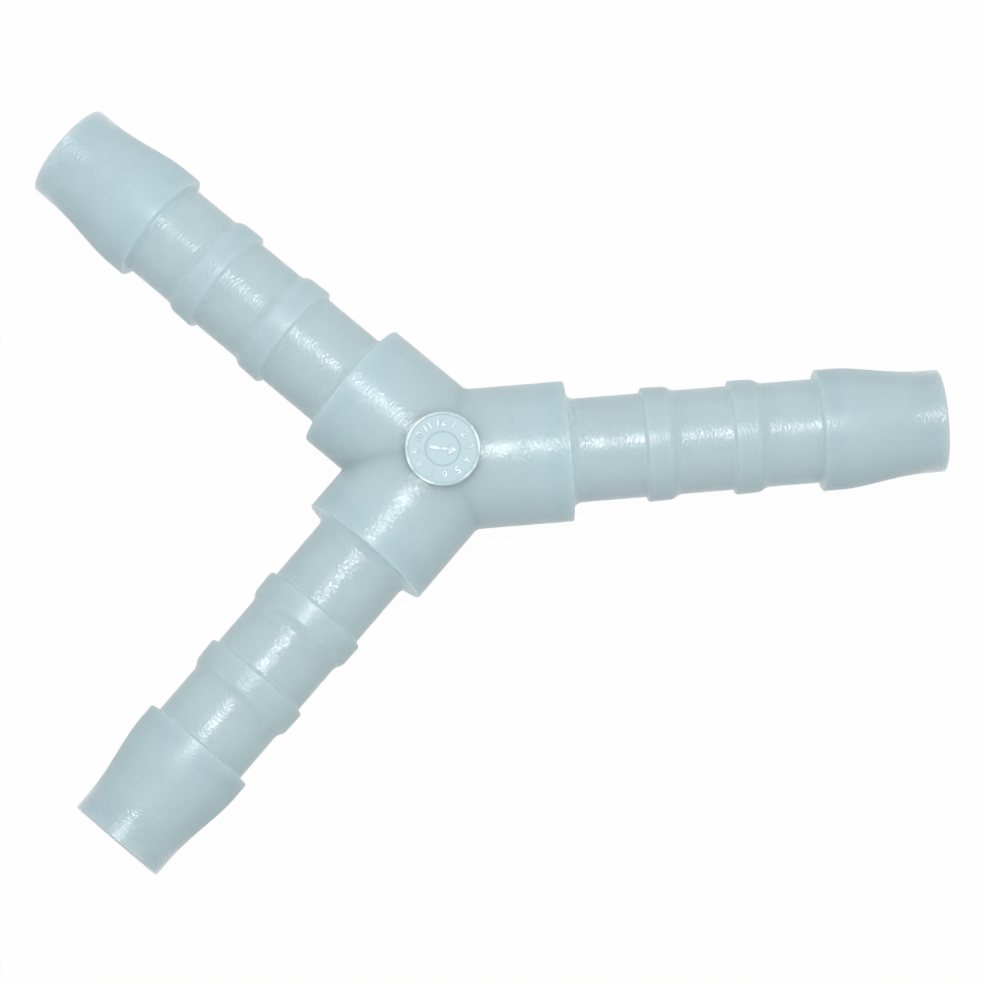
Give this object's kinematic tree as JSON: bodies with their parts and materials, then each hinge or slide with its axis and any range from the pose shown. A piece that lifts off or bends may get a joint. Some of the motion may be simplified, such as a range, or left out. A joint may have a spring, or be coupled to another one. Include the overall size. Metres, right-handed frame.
{
  "type": "tubing y connector",
  "caption": "Y-shaped barbed hose connector moulded in one piece: stepped hub, ringed hose barbs and open bores that meet at the centre, for splitting or joining small tubing.",
  "frame": {"origin": "point where the bore axes of the arms cross, in the middle of the hub", "axes": "+X along the single arm, towards its mouth; the other arms point to +135 and -135 degrees from +X in the XY plane; +Z is normal to the plane of the Y, out of the side with the round pad"},
  "size_m": [0.0682, 0.0592, 0.011],
  "materials": {
    "natural_plastic": "semi-gloss natural translucent moulded plastic"
  },
  "bodies": {
    "root": {"y_connector": "natural_plastic"}
  },
  "joints": []
}
